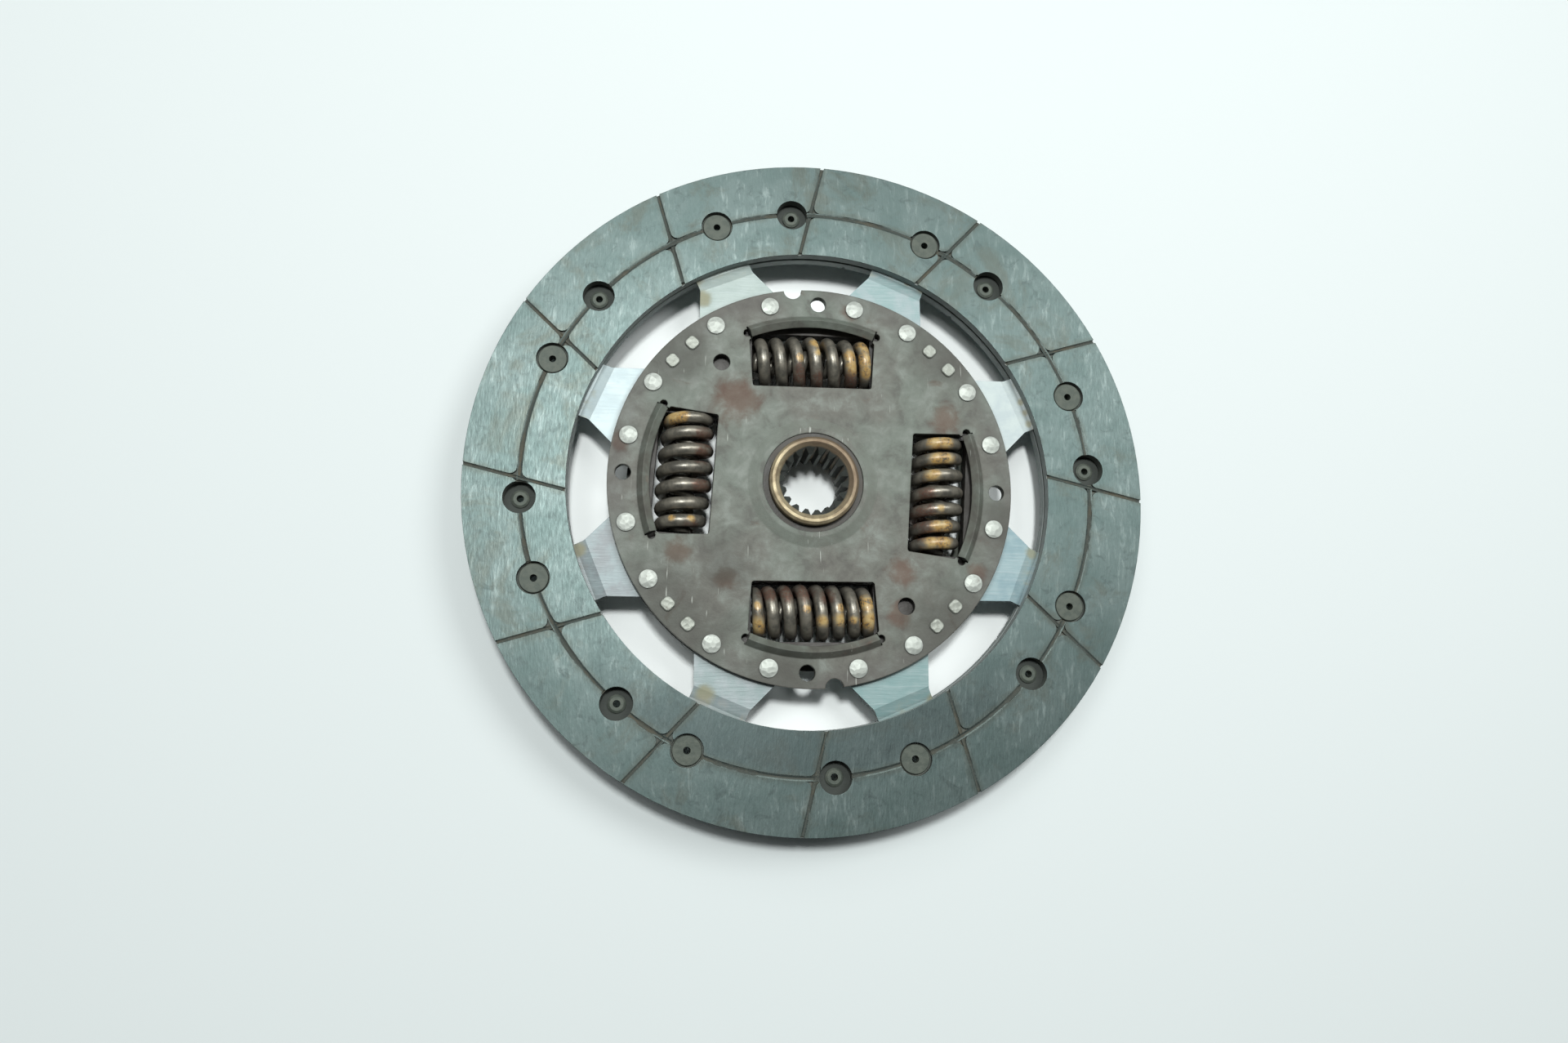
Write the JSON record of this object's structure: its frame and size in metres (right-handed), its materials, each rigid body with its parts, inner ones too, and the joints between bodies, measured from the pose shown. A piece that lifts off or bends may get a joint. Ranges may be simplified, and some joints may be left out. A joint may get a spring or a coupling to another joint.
{
  "type": "clutch disc",
  "caption": "Sprung clutch disc: two grooved friction facings riveted to cushion segments, guide washers with four windowed coil springs and a splined hub.",
  "frame": {"origin": "centre of the hub's rear end face, on the bore's axis", "axes": "+Z along the bore from the rear end to the front facing; +X and +Y in the disc's plane, +Y through the middle of one spring window"},
  "size_m": [0.215, 0.215, 0.0204],
  "materials": {
    "friction_facing": "worn resin friction material, slate grey green with pale streaks",
    "facing_rivet": "dull brown tarnish",
    "segment_steel": "bluish spring steel, straw and rust stains",
    "washer_steel": "dark grey brown oxide with rust patches",
    "bright_rivet": "bright, slightly hammered",
    "spacer_steel": "bright peened steel",
    "bush": "dark brown, oily",
    "friction_ring": "dark moulded friction ring",
    "spring_plate": "plain rolled steel",
    "hub_steel": "golden brown tarnish, dark splines",
    "flange_steel": "dark oxide",
    "coil_steel": "dark brown steel with ochre paint and rust marks",
    "inner_coil_steel": "grey spring steel"
  },
  "bodies": {
    "disc": {"front_facing": "friction_facing", "rear_facing": "friction_facing", "front_facing_rivets": "facing_rivet", "rear_facing_rivets": "facing_rivet", "cushion_segment_1": "segment_steel", "cushion_segment_2": "segment_steel", "cushion_segment_3": "segment_steel", "cushion_segment_4": "segment_steel", "cushion_segment_5": "segment_steel", "cushion_segment_6": "segment_steel", "cushion_segment_7": "segment_steel", "cushion_segment_8": "segment_steel", "front_guide_washer": "washer_steel", "rear_guide_washer": "washer_steel", "segment_rivets": "bright_rivet", "stop_spacer_1": "spacer_steel", "stop_spacer_2": "spacer_steel", "stop_spacer_3": "spacer_steel", "stop_spacer_4": "spacer_steel", "front_bush": "bush", "rear_bush": "bush", "friction_ring": "friction_ring", "pressure_plate": "spring_plate", "belleville_washer": "spring_plate"},
    "hub": {"hub": "hub_steel", "hub_flange": "flange_steel"},
    "springs": {"damper_spring_1": "coil_steel", "damper_spring_2": "coil_steel", "damper_spring_3": "coil_steel", "damper_spring_4": "coil_steel", "inner_spring_1": "inner_coil_steel", "inner_spring_2": "inner_coil_steel", "inner_spring_3": "inner_coil_steel", "inner_spring_4": "inner_coil_steel"}
  },
  "joints": [
    {"name": "hub_twist", "type": "hinge", "parent": "disc", "child": "hub", "pos_m": [0, 0, 0], "axis": [0, 0, 1], "range_deg": [-8.5, 8.5], "stiffness_Nm_per_rad": 20, "deforming": ["damper_spring_1", "damper_spring_2", "damper_spring_3", "damper_spring_4", "inner_spring_1", "inner_spring_2", "inner_spring_3", "inner_spring_4"]},
    {"name": "spring_drift", "type": "hinge", "parent": "disc", "child": "springs", "pos_m": [0, 0, 0], "axis": [0, 0, 1], "range_deg": [-4.25, 4.25]}
  ],
  "couplings": [
    {"joint": "spring_drift", "follows": "hub_twist", "ratio": 0.5}
  ]
}
